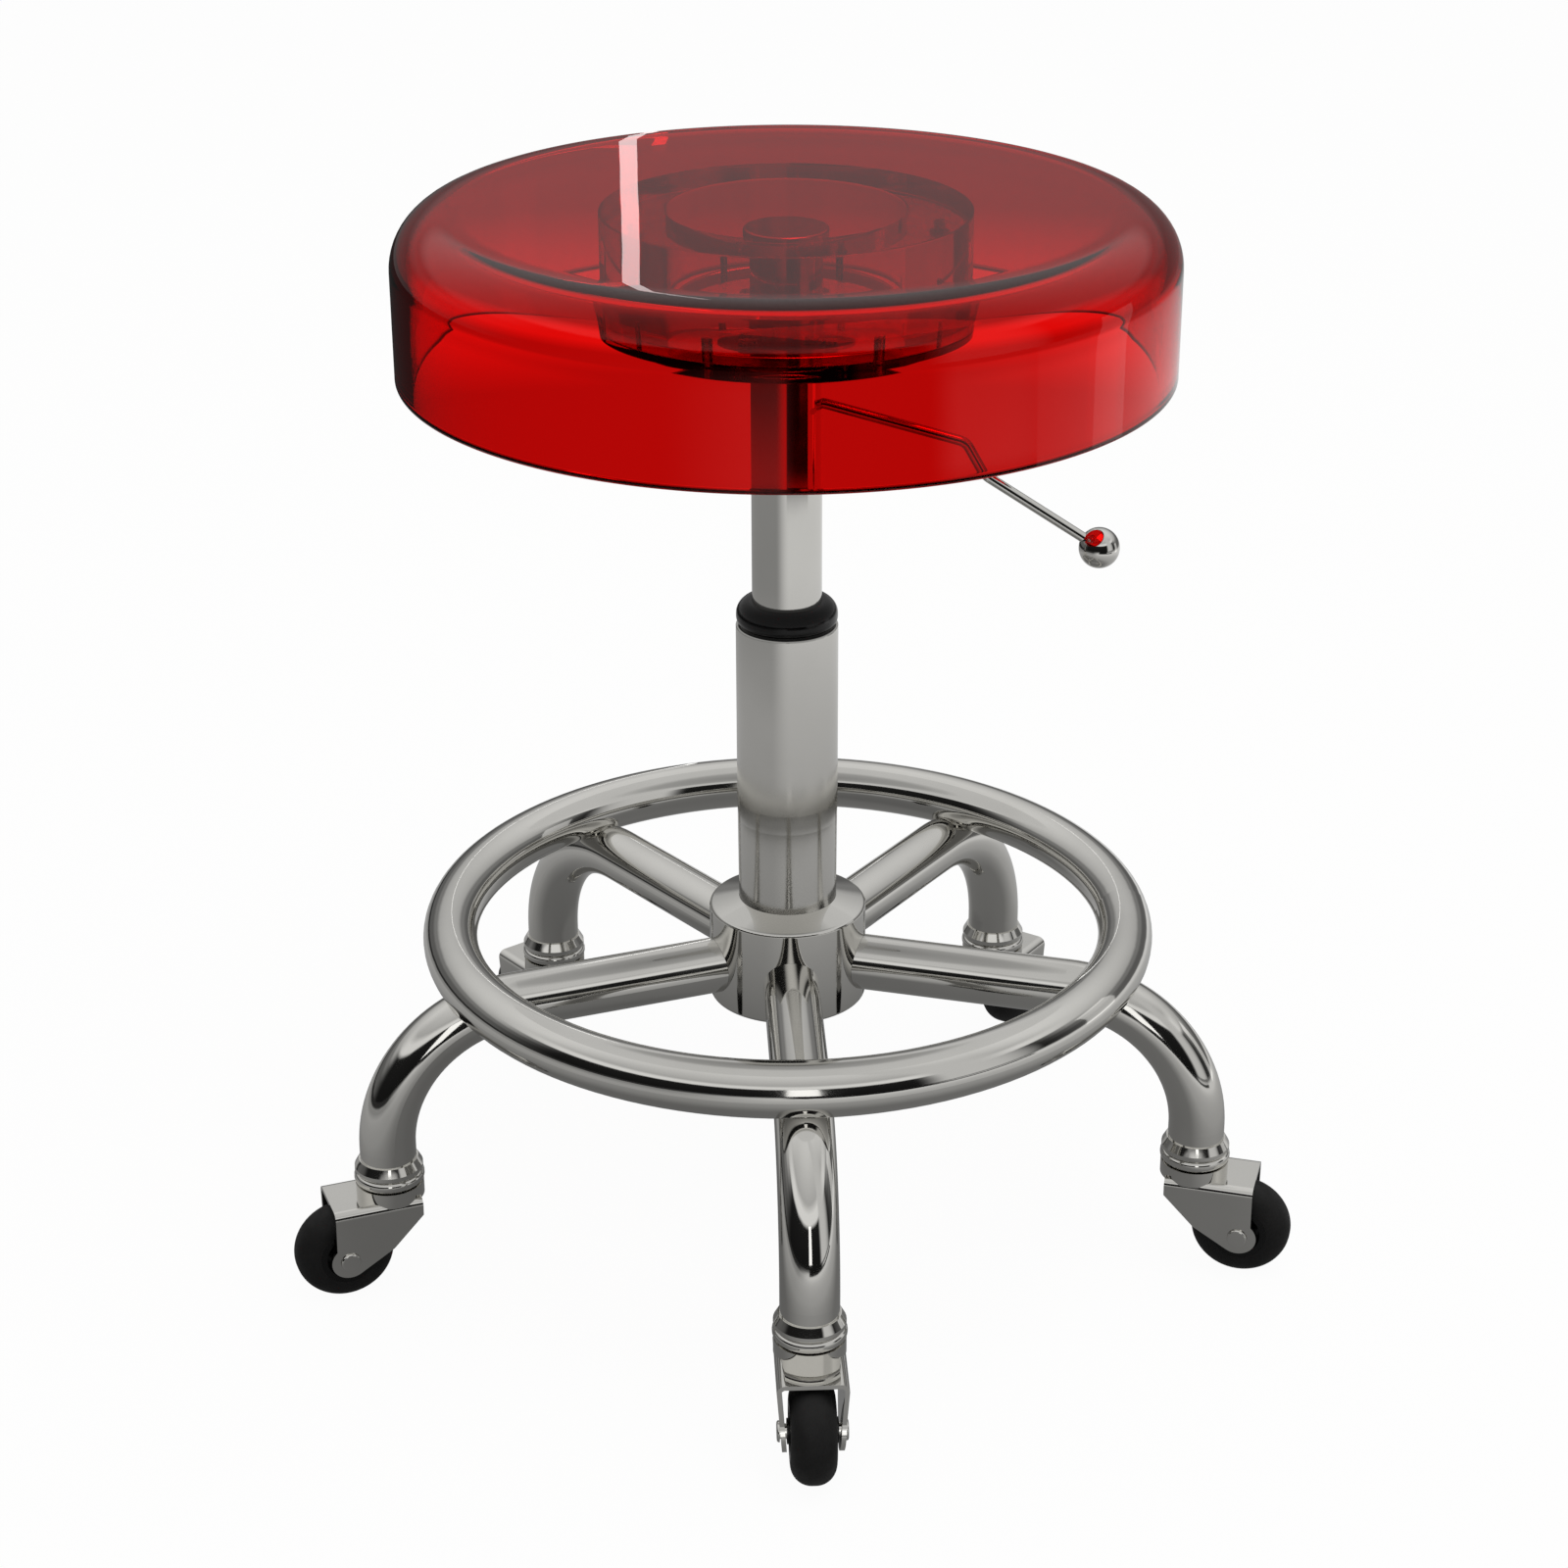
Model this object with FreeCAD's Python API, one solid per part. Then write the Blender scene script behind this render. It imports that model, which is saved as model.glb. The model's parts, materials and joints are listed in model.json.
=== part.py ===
"""Rolling stool: clear drum seat, gas-lift column, five-leg tube base with a foot ring, five casters.

Millimetres, +Z up. The origin is on the floor, on the axis of the column. Leg 1 points along -Y.
"""
import FreeCAD, Part
import math
import os

V = FreeCAD.Vector
UP = V(0, 0, 1)
ORIGIN = V(0, 0, 0)

# Fits between pieces
FIT = 0.05                     # radial clearance of plugs, shafts and running fits
SLACK = 0.3                    # clearance between faces that pass each other
SAME = 0.01                    # sizes closer than this count as equal

# Seat
SEAT_TOP = 535.0
SEAT_RADIUS = 183.0
SEAT_DEPTH = 77.5
SEAT_WALL = 8.0
SEAT_SHOULDER = 26.0           # rounding of the top edge
SEAT_RIM_ROUND = 1.5
RING_RADIUS = 86.5
RING_WIDTH = 31.0
RING_HEIGHT = 45.0
PLATE_THICKNESS = 6.0
SEAT_SCREW_COUNT = 6
SEAT_SCREW_RADIUS = 2.5
SEAT_SCREW_GRIP = 14.0         # depth of the screw in the ring
SCREW_HEAD_RADIUS = 4.6
SCREW_HEAD_HEIGHT = 2.8

# Upper tube and its flange
TUBE_RADIUS = 17.0
FLANGE_RADIUS = 32.0
FLANGE_THICKNESS = 3.0
FLANGE_BOLT_COUNT = 4
FLANGE_BOLT_RADIUS = 2.5
FLANGE_BOLT_CIRCLE = 25.0
NUT_RADIUS = 4.6
NUT_HEIGHT = 4.0
CAP_RADIUS = 20.0
CAP_THICKNESS = 4.0
CAP_PLUG = 10.0
CAP_DROP = 9.0                 # gap between the cap and the underside of the seat top

# Gas spring
CYLINDER_RADIUS = 14.0
CYLINDER_WALL = 2.0
CYLINDER_HEAD = 8.0
GUIDE_LENGTH = 14.0
ROD_RADIUS = 5.0
PISTON_LENGTH = 10.0
PIN_RADIUS = 2.5
PIN_DEPTH = 5.5                # length of the release pin inside the head
LIFT_UP = 30.0                 # travel of the seat above the rest height
PISTON_REST_GAP = 0.5          # piston to guide with the seat at its highest

# Release lever
LEVER_DROP = 17.5              # pivot height below the rim of the seat
LEVER_PIVOT_X = 12.0
LEVER_PIN_RADIUS = 1.5
LEVER_ROD_RADIUS = 2.5
LEVER_BARREL_RADIUS = 3.5
LEVER_NOSE = 13.5              # reach of the nose past the pivot
LEVER_BEND = 8.0
LEVER_START = 5.5              # straight length of the rod outside the pivot
LEVER_OUT_1 = 68.0             # reach and fall of the three straight runs outside the tube
LEVER_FALL_1 = 20.5
LEVER_OUT_2 = 10.0
LEVER_FALL_2 = 18.0
LEVER_OUT_3 = 55.0
LEVER_FALL_3 = 37.0
KNOB_RADIUS = 10.0
KNOB_BORE_DEPTH = 9.0
HOUSING_FLOOR = 4.0
HOUSING_TOP = 12.0             # height of the housing above the pivot
SLOT_BELOW = 5.8
SLOT_ABOVE = 6.5

# Column
COLUMN_RADIUS = 25.0
COLUMN_WALL = 2.0
COLUMN_LENGTH = 198.0
COLUMN_FOOT_LENGTH = 95.0
COLUMN_NECK = 10.0
COLUMN_FOOT_RADIUS = 24.8
COLUMN_FOOT_BORE = 21.0
COLUMN_TAPER = 0.6             # loss of radius along the foot
COLUMN_EDGE_ROUND = 0.9
BUSH_COLLAR_RADIUS = 24.8
BUSH_COLLAR_HEIGHT = 12.5
BUSH_TOP_ROUND = 7.0
BUSH_FOOT_ROUND = 4.0
BUSH_LENGTH = 45.0
GUIDE_OVERLAP = 47.0           # tube held in the bush with the seat at its highest
FLOOR_RISE = 6.0
FLOOR_THICKNESS = 6.0
RACE_RADIUS = 13.0
RACE_THICKNESS = 3.0
THRUST_BALL_RADIUS = 2.0
THRUST_BALL_CIRCLE = 9.5
THRUST_BALL_COUNT = 12
BUMP_RADIUS = 11.0
BUMP_HEIGHT = 12.0
CLIP_RADIUS = 8.0
CLIP_THICKNESS = 2.0
CLIP_GROOVE_RADIUS = 3.5
ROD_TAIL = 1.5

# Hub and legs
LEG_COUNT = 5
FIRST_LEG_ANGLE = -90.0
LEG_HEIGHT = 147.5             # height of the level part of a leg
LEG_RADIUS = 14.0
LEG_WALL = 2.0
LEG_REACH = 213.0              # distance of a caster's swivel axis from the column
LEG_UPRIGHT = 9.0              # straight foot of a leg, below its bend
HUB_RADIUS = 39.5
HUB_ABOVE = 29.5
HUB_BELOW = 20.5
HUB_WALL = 4.0
HUB_ROOF = 6.0
HUB_SLEEVE = 5.0
HUB_CROWN = 4.0                # rise of the top from its edge to the column
HUB_EDGE_ROUND = 2.0
HUB_FOOT_ROUND = 1.5
COLUMN_INSET = 3.0             # column end above the underside of the hub

# Foot ring
FOOT_RING_INSET = 42.4         # ring inside the circle of the swivel axes
FOOT_RING_TUBE = 13.5
FOOT_RING_WALL = 2.0
FOOT_RING_NOTCH = 5.75         # depth that the ring is let into the legs
VENT_RADIUS = 3.0

# Casters, in a frame with its origin below the swivel axis and +X along the trail
WHEEL_RADIUS = 25.0
WHEEL_WIDTH = 21.5
TYRE_ROUND = 9.8
TYRE_DEPTH = 11.0
CORE_BOSS_RADIUS = 6.0
CORE_WEB = 8.0
CORE_RIM_DEPTH = 3.0
TRAIL = 25.5
AXLE_RADIUS = 3.5
AXLE_HEAD_RADIUS = 5.0
AXLE_HEAD_HEIGHT = 1.3
AXLE_DOME = 0.8                # share of the head's height that is rounded
FORK_GAP = 1.8                 # wheel to the underside of the fork
FORK_SHEET = 2.2
FORK_HALF_WIDTH = 17.0
FORK_TAPER = 4.0               # loss of half width down the cheek
FORK_BEND = 4.0
FORK_EYE_RADIUS = 9.5
FORK_REAR = 6.5                # rear edge of the cheek behind the axle
FORK_FRONT = 12.5              # front edge of the cheek ahead of the swivel axis
FORK_FRONT_DEPTH = 9.0
FORK_WAIST_X = 3.0             # where the slanted front edge turns towards the eye
FORK_WAIST_Z = 28.0
CUP_WALL = 3.0
SWIVEL_BALL_RADIUS = 2.85
SWIVEL_BALL_CIRCLE = 11.0
SWIVEL_BALL_COUNT = 11
SWIVEL_BALL_PLAY = 0.15
SWIVEL_BOSS_RADIUS = 8.0
KINGPIN_RADIUS = 4.0
KINGPIN_HEAD_RADIUS = 6.5
KINGPIN_HEAD_HEIGHT = 2.0
STEM_RADIUS = 5.5
STEM_LENGTH = 37.0
STEM_RACE_RADIUS = 17.5
STEM_RACE_HEIGHT = 6.0
STEM_RACE_ROUND = 2.6
SOCKET_RADIUS = 17.0           # ferrule that flares out below the leg
SOCKET_RIM = 3.0
SOCKET_FLOOR = 4.5             # ferrule below the end of the leg
SOCKET_FLARE = 4.0
SOCKET_LIP = 0.8               # thickness of the ferrule at its upper edge
SOCKET_ROUND = 1.2
SOCKET_NOSE = 20.0             # tapered end of the plug, inside the bend of the leg

# Heights worked out from the sizes above
SEAT_RIM = SEAT_TOP - SEAT_DEPTH
RING_TOP = SEAT_TOP - SEAT_WALL
RING_FOOT = RING_TOP - RING_HEIGHT
PLATE_FOOT = RING_FOOT - PLATE_THICKNESS
FLANGE_FOOT = PLATE_FOOT - FLANGE_THICKNESS
CAP_TOP = RING_TOP - CAP_DROP
TUBE_TOP = CAP_TOP - CAP_THICKNESS
TUBE_BORE = CYLINDER_RADIUS + FIT
LEVER_Z = SEAT_RIM - LEVER_DROP
HOUSING_FOOT = LEVER_Z - SLOT_BELOW - HOUSING_FLOOR
HUB_EDGE = LEG_HEIGHT + HUB_ABOVE
HUB_TOP = HUB_EDGE + HUB_CROWN
HUB_FOOT = LEG_HEIGHT - HUB_BELOW
COLUMN_FOOT = HUB_FOOT + COLUMN_INSET
COLUMN_TOP = COLUMN_FOOT + COLUMN_LENGTH
COLUMN_BORE = COLUMN_RADIUS - COLUMN_WALL
BUSH_TOP = COLUMN_TOP + BUSH_COLLAR_HEIGHT
TUBE_FOOT = BUSH_TOP - GUIDE_OVERLAP - LIFT_UP
CYLINDER_BORE = CYLINDER_RADIUS - CYLINDER_WALL
PISTON_FOOT = TUBE_FOOT + GUIDE_LENGTH + LIFT_UP + PISTON_REST_GAP
ROD_TOP = PISTON_FOOT + PISTON_LENGTH
FLOOR_FOOT = COLUMN_FOOT + FLOOR_RISE
FLOOR_TOP = FLOOR_FOOT + FLOOR_THICKNESS
RACE_TOP = FLOOR_TOP + RACE_THICKNESS
UPPER_RACE_FOOT = RACE_TOP + 2 * THRUST_BALL_RADIUS + SLACK / 2
BUMP_FOOT = UPPER_RACE_FOOT + RACE_THICKNESS
CLIP_TOP = FLOOR_FOOT - SLACK
ROD_FOOT = CLIP_TOP - CLIP_THICKNESS - ROD_TAIL
FORK_TOP = 2 * WHEEL_RADIUS + FORK_GAP + FORK_SHEET
SWIVEL_BALL_Z = FORK_TOP + SWIVEL_BALL_RADIUS + SWIVEL_BALL_PLAY
STEM_RACE_FOOT = SWIVEL_BALL_Z + SWIVEL_BALL_RADIUS + SWIVEL_BALL_PLAY
STEM_RACE_TOP = STEM_RACE_FOOT + STEM_RACE_HEIGHT
LEG_END = STEM_RACE_TOP + SOCKET_FLOOR
LEG_BORE = LEG_RADIUS - LEG_WALL
BEND_FOOT = LEG_END + LEG_UPRIGHT
LEG_BEND = LEG_HEIGHT - BEND_FOOT
BEND_X = LEG_REACH - LEG_BEND
SOCKET_NOSE_RADIUS = math.sqrt((LEG_BEND + LEG_BORE)**2 - SOCKET_NOSE**2) - LEG_BEND - SLACK
FOOT_RING_REACH = LEG_REACH - FOOT_RING_INSET
RING_FROM_BEND = LEG_BEND + LEG_RADIUS + FOOT_RING_TUBE - FOOT_RING_NOTCH
FOOT_RING_Z = BEND_FOOT + math.sqrt(RING_FROM_BEND**2 - max(FOOT_RING_REACH - BEND_X, 0)**2)
AXLE = V(TRAIL, 0, WHEEL_RADIUS)
FORK_WAIST = V(FORK_WAIST_X, 0, FORK_WAIST_Z)
LEVER_RUNS = (
    V(LEVER_OUT_1, 0, -LEVER_FALL_1),
    V(LEVER_OUT_2, 0, -LEVER_FALL_2),
    V(LEVER_OUT_3, 0, -LEVER_FALL_3),
)


def cylinder(radius, low, high, x=0.0, y=0.0):
    """Upright cylinder between two heights."""
    return Part.makeCylinder(radius, high - low, V(x, y, low), UP)


def sleeve(outer, inner, low, high):
    """Upright tube between two heights."""
    return cylinder(outer, low, high).cut(cylinder(inner, low, high))


def cross_cylinder(radius, half_length, x, z):
    """Cylinder along Y, centred on the plane of symmetry."""
    return Part.makeCylinder(radius, 2 * half_length, V(x, -half_length, z), V(0, 1, 0))


def block(low, high):
    """Box between two corners."""
    size = high.sub(low)
    return Part.makeBox(size.x, size.y, size.z, low)


def revolved(edges):
    """Solid of a closed profile in the XZ plane, turned about Z."""
    face = Part.Face(Part.Wire(edges))
    return face.revolve(ORIGIN, UP, 360)


def polygon(points):
    """Edges of a closed polygon."""
    closed = points + [points[0]]
    return [Part.LineSegment(a, b).toShape() for a, b in zip(closed, closed[1:])]


def quarter_arc(centre, radius, start):
    """Quarter arc in the XZ plane that begins at an angle in degrees and runs counter-clockwise."""
    def on_arc(turn):
        angle = math.radians(start + turn)
        return centre.add(V(radius * math.cos(angle), 0, radius * math.sin(angle)))
    return Part.Arc(on_arc(0), on_arc(45), on_arc(90)).toShape()


def round_edge(shape, radius, edge_radius, height):
    """Round the circular edges of one radius at one height."""
    def matches(edge):
        curve = edge.Curve
        if not isinstance(curve, Part.Circle):
            return False
        return abs(curve.Radius - edge_radius) < SAME and abs(curve.Center.z - height) < SAME
    return shape.makeFillet(radius, [edge for edge in shape.Edges if matches(edge)])


def around(shape, count, first=0.0):
    """Copies of a shape spread evenly about Z."""
    return [shape.rotated(ORIGIN, UP, first + 360.0 * i / count) for i in range(count)]


def joined(shapes):
    """One solid from shapes that meet."""
    whole = shapes[0]
    for shape in shapes[1:]:
        whole = whole.fuse(shape)
    return whole.removeSplitter()


def without(shape, tools):
    """Shape with a list of tools cut away."""
    for tool in tools:
        shape = shape.cut(tool)
    return shape


def hexagon(radius, low, high, x=0.0, y=0.0):
    """Upright hexagonal prism whose corners lie on a radius."""
    corners = []
    for i in range(6):
        angle = math.radians(60 * i)
        corners.append(V(x + radius * math.cos(angle), y + radius * math.sin(angle), low))
    return Part.Face(Part.Wire(polygon(corners))).extrude(V(0, 0, high - low))


def bent_rod(points, radius, bend):
    """Round rod along straight runs in the XZ plane, with an arc at each inner point."""
    edges = []
    start = points[0]
    for before, corner, after in zip(points, points[1:], points[2:]):
        inward = before.sub(corner).normalize()
        onward = after.sub(corner).normalize()
        half = inward.getAngle(onward) / 2
        setback = bend / math.tan(half)
        middle = inward.add(onward).normalize() * (bend / math.sin(half) - bend)
        arc_start = corner.add(inward * setback)
        arc_end = corner.add(onward * setback)
        edges.append(Part.LineSegment(start, arc_start).toShape())
        edges.append(Part.Arc(arc_start, corner.add(middle), arc_end).toShape())
        start = arc_end
    edges.append(Part.LineSegment(start, points[-1]).toShape())
    heading = points[1].sub(points[0])
    section = Part.Wire(Part.makeCircle(radius, points[0], heading))
    return Part.Wire(edges).makePipeShell([section], True, False)


# Seat


def seat_shell():
    """Open-bottomed drum with a rounded top edge, the same wall all over."""
    outer = SEAT_RADIUS
    inner = SEAT_RADIUS - SEAT_WALL
    shoulder_x = SEAT_RADIUS - SEAT_SHOULDER
    shoulder_z = SEAT_TOP - SEAT_SHOULDER
    centre = V(shoulder_x, 0, shoulder_z)
    inner_round = SEAT_SHOULDER - SEAT_WALL
    lines = [
        (V(shoulder_x, 0, SEAT_TOP), V(0, 0, SEAT_TOP)),
        (V(0, 0, SEAT_TOP), V(0, 0, RING_TOP)),
        (V(0, 0, RING_TOP), V(shoulder_x, 0, RING_TOP)),
        (V(inner, 0, shoulder_z), V(inner, 0, SEAT_RIM)),
        (V(inner, 0, SEAT_RIM), V(outer, 0, SEAT_RIM)),
        (V(outer, 0, SEAT_RIM), V(outer, 0, shoulder_z)),
    ]
    edges = [Part.LineSegment(a, b).toShape() for a, b in lines]
    edges.append(quarter_arc(centre, SEAT_SHOULDER, 0))
    edges.append(quarter_arc(centre, inner_round, 0))
    shell = revolved(Part.__sortEdges__(edges))
    shell = round_edge(shell, SEAT_RIM_ROUND, outer, SEAT_RIM)
    return round_edge(shell, SEAT_RIM_ROUND, inner, SEAT_RIM)


def on_seat_screw_circle(shape):
    """Copies of a shape at every seat screw, midway along the width of the ring."""
    moved = shape.translated(V(RING_RADIUS - RING_WIDTH / 2, 0, 0))
    return around(moved, SEAT_SCREW_COUNT)


def seat_ring():
    """Thick ring bonded under the top, with blind holes for the plate's screws."""
    ring = sleeve(RING_RADIUS, RING_RADIUS - RING_WIDTH, RING_FOOT, RING_TOP)
    hole = cylinder(SEAT_SCREW_RADIUS + FIT, RING_FOOT, RING_FOOT + SEAT_SCREW_GRIP + SLACK)
    return without(ring, on_seat_screw_circle(hole))


def on_flange_bolt_circle(shape):
    """Copies of a shape at every flange bolt."""
    return around(shape.translated(V(FLANGE_BOLT_CIRCLE, 0, 0)), FLANGE_BOLT_COUNT, 45.0)


def seat_mount_plate():
    """Plate that closes the ring, with holes for the tube, its flange bolts and the seat screws."""
    plate = sleeve(RING_RADIUS, TUBE_RADIUS + FIT, PLATE_FOOT, RING_FOOT)
    screw_hole = cylinder(SEAT_SCREW_RADIUS + FIT, PLATE_FOOT, RING_FOOT)
    bolt_hole = cylinder(FLANGE_BOLT_RADIUS + FIT, PLATE_FOOT, RING_FOOT)
    plate = without(plate, on_seat_screw_circle(screw_hole))
    return without(plate, on_flange_bolt_circle(bolt_hole))


def seat_screws():
    """Pan-head screws up through the plate into the ring."""
    shank = cylinder(SEAT_SCREW_RADIUS, PLATE_FOOT, RING_FOOT + SEAT_SCREW_GRIP)
    head = cylinder(SCREW_HEAD_RADIUS, PLATE_FOOT - SCREW_HEAD_HEIGHT, PLATE_FOOT)
    screw = joined([shank, head])
    screw = round_edge(screw, SCREW_HEAD_HEIGHT / 2, SCREW_HEAD_RADIUS, PLATE_FOOT - SCREW_HEAD_HEIGHT)
    return Part.makeCompound(on_seat_screw_circle(screw))


def flange_bolts():
    """Bolts up through the flange and the plate, with a nut on each."""
    nut_top = RING_FOOT + NUT_HEIGHT
    head_foot = FLANGE_FOOT - SCREW_HEAD_HEIGHT
    shank = cylinder(FLANGE_BOLT_RADIUS, FLANGE_FOOT, nut_top)
    head = cylinder(SCREW_HEAD_RADIUS, head_foot, FLANGE_FOOT)
    bolt = joined([shank, head])
    bolt = round_edge(bolt, SCREW_HEAD_HEIGHT / 2, SCREW_HEAD_RADIUS, head_foot)
    nut = hexagon(NUT_RADIUS, RING_FOOT, nut_top)
    nut = nut.cut(cylinder(FLANGE_BOLT_RADIUS + FIT, RING_FOOT, nut_top))
    return Part.makeCompound(on_flange_bolt_circle(bolt) + on_flange_bolt_circle(nut))


def lever_slot():
    """Space that the lever swings in, open through one side of the tube."""
    half = LEVER_ROD_RADIUS + SLACK
    low = V(LEVER_PIVOT_X - LEVER_NOSE - 2 * SLACK, -half, LEVER_Z - SLOT_BELOW)
    return block(low, V(TUBE_RADIUS + SLACK, half, LEVER_Z + SLOT_ABOVE))


def upper_tube():
    """Tube from the bush to its cap in the seat, with the welded flange under the mount plate."""
    tube = cylinder(TUBE_RADIUS, TUBE_FOOT, TUBE_TOP)
    flange = cylinder(FLANGE_RADIUS, FLANGE_FOOT, PLATE_FOOT)
    tube = joined([tube, flange])
    bolt_hole = cylinder(FLANGE_BOLT_RADIUS + FIT, FLANGE_FOOT, PLATE_FOOT)
    cuts = [cylinder(TUBE_BORE, TUBE_FOOT, TUBE_TOP), lever_slot()]
    cuts.append(cross_cylinder(LEVER_PIN_RADIUS + FIT, TUBE_RADIUS, LEVER_PIVOT_X, LEVER_Z))
    return without(tube, cuts + on_flange_bolt_circle(bolt_hole))


def tube_cap():
    """Disc with a plug, in the top of the upper tube."""
    disc = cylinder(CAP_RADIUS, TUBE_TOP, CAP_TOP)
    plug = cylinder(CYLINDER_RADIUS, TUBE_TOP - CAP_PLUG, TUBE_TOP)
    return round_edge(joined([disc, plug]), CAP_THICKNESS / 4, CAP_RADIUS, CAP_TOP)


# Gas spring and lever


def gas_cylinder():
    """Pressure cylinder, closed by a head with the bore of the release pin."""
    body = cylinder(CYLINDER_RADIUS, TUBE_FOOT, HOUSING_FOOT)
    chamber = cylinder(CYLINDER_BORE, TUBE_FOOT, HOUSING_FOOT - CYLINDER_HEAD)
    pin_bore = cylinder(PIN_RADIUS + FIT, HOUSING_FOOT - CYLINDER_HEAD, HOUSING_FOOT)
    return without(body, [chamber, pin_bore])


def rod_guide():
    """Guide and seal at the lower end of the cylinder."""
    return sleeve(CYLINDER_BORE - FIT, ROD_RADIUS + FIT, TUBE_FOOT, TUBE_FOOT + GUIDE_LENGTH)


def piston():
    """Piston on the top of the rod."""
    return sleeve(CYLINDER_BORE - FIT, ROD_RADIUS, PISTON_FOOT, ROD_TOP)


def piston_rod():
    """Rod from the column floor to the piston, with a groove for its clip."""
    rod = cylinder(ROD_RADIUS, ROD_FOOT, ROD_TOP)
    groove = sleeve(ROD_RADIUS, CLIP_GROOVE_RADIUS, CLIP_TOP - CLIP_THICKNESS, CLIP_TOP)
    return rod.cut(groove)


def release_pin():
    """Valve pin that stands out of the head under the nose of the lever."""
    return cylinder(PIN_RADIUS, HOUSING_FOOT - PIN_DEPTH, LEVER_Z - LEVER_ROD_RADIUS - SLACK)


def lever_housing():
    """Block in the tube above the cylinder, slotted for the lever."""
    body = cylinder(CYLINDER_RADIUS, HOUSING_FOOT, LEVER_Z + HOUSING_TOP)
    pin_hole = cylinder(PIN_RADIUS + SLACK, HOUSING_FOOT, LEVER_Z)
    pivot = cross_cylinder(LEVER_PIN_RADIUS + FIT, TUBE_RADIUS, LEVER_PIVOT_X, LEVER_Z)
    return without(body, [pin_hole, lever_slot(), pivot])


def lever_pivot_pin():
    """Pin across the tube, cut flush with the outside of the tube."""
    pin = cross_cylinder(LEVER_PIN_RADIUS, TUBE_RADIUS, LEVER_PIVOT_X, LEVER_Z)
    return pin.common(cylinder(TUBE_RADIUS, LEVER_Z - TUBE_RADIUS, LEVER_Z + TUBE_RADIUS))


def lever_route():
    """Corners of the lever rod from its nose to the centre of the knob."""
    pivot = V(LEVER_PIVOT_X, 0, LEVER_Z)
    points = [pivot.add(V(-LEVER_NOSE, 0, 0)), pivot.add(V(LEVER_START, 0, 0))]
    for run in LEVER_RUNS:
        points.append(points[-1].add(run))
    return points


def lever_rod():
    """Bent rod with a barrel on its pivot."""
    rod = bent_rod(lever_route(), LEVER_ROD_RADIUS, LEVER_BEND)
    barrel = cross_cylinder(LEVER_BARREL_RADIUS, LEVER_ROD_RADIUS, LEVER_PIVOT_X, LEVER_Z)
    bore = cross_cylinder(LEVER_PIN_RADIUS + FIT, TUBE_RADIUS, LEVER_PIVOT_X, LEVER_Z)
    return joined([rod, barrel]).cut(bore)


def lever_knob():
    """Ball with a blind bore for the end of the rod."""
    end = lever_route()[-1]
    back = V(LEVER_RUNS[-1]).normalize() * -1
    ball = Part.makeSphere(KNOB_RADIUS, end.add(back * (KNOB_BORE_DEPTH - KNOB_RADIUS)))
    bore = Part.makeCylinder(LEVER_ROD_RADIUS + FIT, 2 * KNOB_RADIUS, end, back)
    return ball.cut(bore)


def bump_stop():
    """Rubber stop round the rod, on the upper race."""
    stop = sleeve(BUMP_RADIUS, ROD_RADIUS + FIT, BUMP_FOOT, BUMP_FOOT + BUMP_HEIGHT)
    return round_edge(stop, BUMP_HEIGHT / 4, BUMP_RADIUS, BUMP_FOOT + BUMP_HEIGHT)


def thrust_race_lower():
    """Washer on the column floor, clear of the rod."""
    return sleeve(RACE_RADIUS, ROD_RADIUS + SLACK, FLOOR_TOP, RACE_TOP)


def thrust_race_upper():
    """Washer on the rod, above the balls."""
    return sleeve(RACE_RADIUS, ROD_RADIUS + FIT, UPPER_RACE_FOOT, BUMP_FOOT)


def thrust_balls():
    """Balls of the thrust bearing."""
    ball = Part.makeSphere(THRUST_BALL_RADIUS, V(THRUST_BALL_CIRCLE, 0, RACE_TOP + THRUST_BALL_RADIUS))
    return Part.makeCompound(around(ball, THRUST_BALL_COUNT))


def rod_clip():
    """Retaining clip in the groove of the rod, under the column floor."""
    return sleeve(CLIP_RADIUS, CLIP_GROOVE_RADIUS, CLIP_TOP - CLIP_THICKNESS, CLIP_TOP)


# Column, hub and legs


def column_tube():
    """Column with a neck above its tapered foot."""
    foot_top = COLUMN_FOOT + COLUMN_FOOT_LENGTH
    neck_top = foot_top + COLUMN_NECK
    profile = [
        V(COLUMN_FOOT_BORE, 0, COLUMN_FOOT),
        V(COLUMN_FOOT_RADIUS - COLUMN_TAPER, 0, COLUMN_FOOT),
        V(COLUMN_FOOT_RADIUS, 0, foot_top),
        V(COLUMN_RADIUS, 0, neck_top),
        V(COLUMN_RADIUS, 0, COLUMN_TOP),
        V(COLUMN_BORE, 0, COLUMN_TOP),
        V(COLUMN_BORE, 0, neck_top),
        V(COLUMN_FOOT_BORE, 0, foot_top),
    ]
    return round_edge(revolved(polygon(profile)), COLUMN_EDGE_ROUND, COLUMN_RADIUS, COLUMN_TOP)


def column_taper(height):
    """Outside radius of the column foot at a height."""
    share = (height - COLUMN_FOOT) / COLUMN_FOOT_LENGTH
    return COLUMN_FOOT_RADIUS - COLUMN_TAPER * (1 - share)


def guide_bush():
    """Bush in the top of the column, with a rounded collar on its rim."""
    collar = cylinder(BUSH_COLLAR_RADIUS, COLUMN_TOP, BUSH_TOP)
    collar = round_edge(collar, BUSH_TOP_ROUND, BUSH_COLLAR_RADIUS, BUSH_TOP)
    collar = round_edge(collar, BUSH_FOOT_ROUND, BUSH_COLLAR_RADIUS, COLUMN_TOP)
    plug = cylinder(COLUMN_BORE - FIT, COLUMN_TOP - BUSH_LENGTH, COLUMN_TOP + BUSH_FOOT_ROUND)
    bore = cylinder(TUBE_RADIUS + FIT, COLUMN_TOP - BUSH_LENGTH, BUSH_TOP)
    return joined([collar, plug]).cut(bore)


def column_floor():
    """Plate in the foot of the column, with the bore that the rod turns in."""
    return sleeve(COLUMN_FOOT_BORE - FIT, ROD_RADIUS + FIT, FLOOR_FOOT, FLOOR_TOP)


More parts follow.
